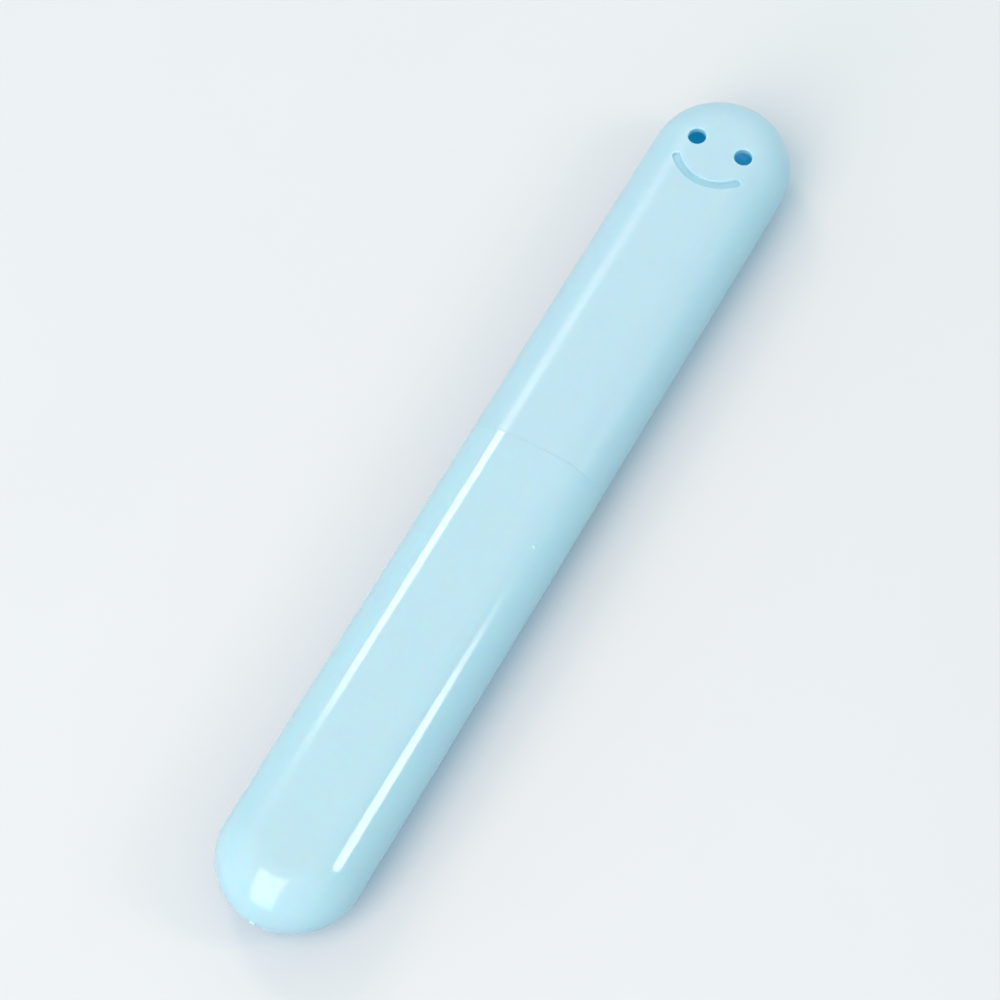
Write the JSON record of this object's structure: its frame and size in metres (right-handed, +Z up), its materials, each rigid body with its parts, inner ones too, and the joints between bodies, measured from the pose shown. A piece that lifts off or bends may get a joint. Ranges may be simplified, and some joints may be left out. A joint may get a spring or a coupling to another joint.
{
  "type": "toothbrush case",
  "caption": "Slim oval travel case for a toothbrush, with domed ends, a pull-off cap on a thin oval neck, vent holes and a curved groove.",
  "frame": {"origin": "on the ground below the middle of the case, under the long centre line", "axes": "+X along the case towards the domed end of the cap, +Z up through the side with the vent holes"},
  "size_m": [0.2006, 0.029, 0.019],
  "materials": {
    "pale_blue_plastic": "glossy moulded polypropylene, slightly translucent"
  },
  "bodies": {
    "body": {"case_body": "pale_blue_plastic"},
    "cap": {"case_cap": "pale_blue_plastic"}
  },
  "joints": [
    {"name": "cap_pull", "type": "slide", "parent": "body", "child": "cap", "axis": [1, 0, 0], "range_m": [0, 0.06]}
  ]
}
